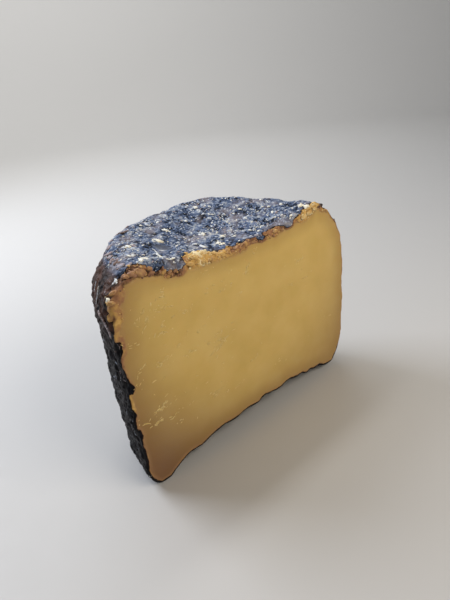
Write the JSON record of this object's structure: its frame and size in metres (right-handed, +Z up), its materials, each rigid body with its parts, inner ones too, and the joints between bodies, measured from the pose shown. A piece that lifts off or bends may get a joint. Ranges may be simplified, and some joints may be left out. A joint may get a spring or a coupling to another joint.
{
  "type": "sheep cheese half wheel",
  "caption": "Half of a small tall tomme cheese wheel, cut down the middle, with a dished top and base, a mouldy blue-black rind and a smooth pale yellow cut face.",
  "frame": {"origin": "middle of the box's base, on the surface that the half wheel stands on", "axes": "+X along the cut, +Y from the cut face into the cheese, +Z up"},
  "size_m": [0.1816, 0.0912, 0.1351],
  "materials": {
    "paste": "moist matte",
    "rind": "dry, rough, mouldy"
  },
  "bodies": {
    "root": {"half_wheel": "paste"}
  },
  "joints": []
}
